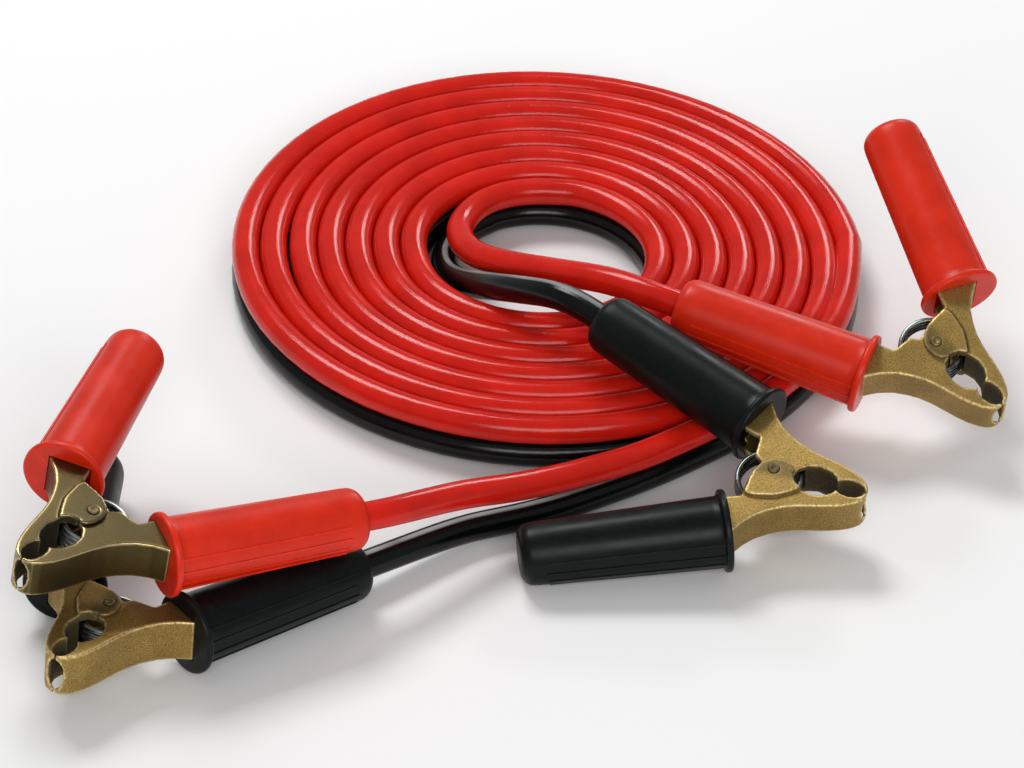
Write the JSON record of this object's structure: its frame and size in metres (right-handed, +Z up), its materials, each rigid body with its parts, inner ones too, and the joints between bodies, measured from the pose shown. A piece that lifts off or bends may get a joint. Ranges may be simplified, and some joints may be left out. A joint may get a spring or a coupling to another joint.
{
  "type": "car jumper cable",
  "caption": "Joined red and black jumper cable laid as a flat spiral, each conductor ending in sprung brass battery clamps with ribbed plastic grips.",
  "frame": {"origin": "On the floor, below the middle of the box round the four clamps, with the cable's coil and leads left out. The clamps lie in front of the coil and to both sides of it.", "axes": "+Z up from the floor. +X to the right and +Y away from the viewer as the picture shows it: the coil lies at +Y and the two stacked clamps at -X."},
  "size_m": [0.3816, 0.4258, 0.09],
  "materials": {
    "red_sheath": "glossy red PVC sheath",
    "black_sheath": "glossy black PVC sheath",
    "red_grip": "satin red moulded plastic",
    "black_grip": "satin black moulded plastic",
    "brass": "sand-cast yellow brass with worn bright edges",
    "rivet": "dull riveted pin",
    "zinc_spring": "zinc-plated spring steel"
  },
  "bodies": {
    "cable_and_cable_halves": {"red_coil": "red_sheath", "black_coil": "black_sheath", "red_lead_inner": "red_sheath", "red_lead_outer": "red_sheath", "black_lead_inner": "black_sheath", "black_lead_outer": "black_sheath", "black_near_cable_jaw": "brass", "black_near_rivet": "rivet", "black_near_spring": "zinc_spring", "black_near_cable_grip": "black_grip", "red_far_cable_jaw": "brass", "red_far_rivet": "rivet", "red_far_spring": "zinc_spring", "red_far_cable_grip": "red_grip", "red_left_cable_jaw": "brass", "red_left_rivet": "rivet", "red_left_spring": "zinc_spring", "red_left_cable_grip": "red_grip", "black_left_cable_jaw": "brass", "black_left_rivet": "rivet", "black_left_spring": "zinc_spring", "black_left_cable_grip": "black_grip"},
    "black_near_free_half": {"black_near_free_jaw": "brass", "black_near_free_grip": "black_grip"},
    "red_far_free_half": {"red_far_free_jaw": "brass", "red_far_free_grip": "red_grip"},
    "red_left_free_half": {"red_left_free_jaw": "brass", "red_left_free_grip": "red_grip"},
    "black_left_free_half": {"black_left_free_jaw": "brass", "black_left_free_grip": "black_grip"}
  },
  "joints": [
    {"name": "black_near_pivot", "type": "hinge", "parent": "cable_and_cable_halves", "child": "black_near_free_half", "pos_m": [0.0967, -0.0212, 0.0255], "axis": [0.0363, 0.2734, -0.9612], "range_deg": [0, 5], "stiffness_Nm_per_rad": 2, "springref_deg": -28.65, "deforming": ["black_near_spring"]},
    {"name": "red_far_pivot", "type": "hinge", "parent": "cable_and_cable_halves", "child": "red_far_free_half", "pos_m": [0.1619, 0.0535, 0.037], "axis": [-0.0186, -0.4226, 0.9061], "range_deg": [0, 35], "stiffness_Nm_per_rad": 2, "springref_deg": -28.65, "deforming": ["red_far_spring"]},
    {"name": "red_left_pivot", "type": "hinge", "parent": "cable_and_cable_halves", "child": "red_left_free_half", "pos_m": [-0.1621, -0.0992, 0.0504], "axis": [-0.1376, 0.0788, -0.9873], "range_deg": [0, 35], "stiffness_Nm_per_rad": 2, "springref_deg": -28.65, "deforming": ["red_left_spring"]},
    {"name": "black_left_pivot", "type": "hinge", "parent": "cable_and_cable_halves", "child": "black_left_free_half", "pos_m": [-0.1543, -0.1171, 0.0195], "axis": [-0.0429, -0.0701, -0.9966], "range_deg": [0, 35], "stiffness_Nm_per_rad": 2, "springref_deg": -28.65, "deforming": ["black_left_spring"]}
  ]
}
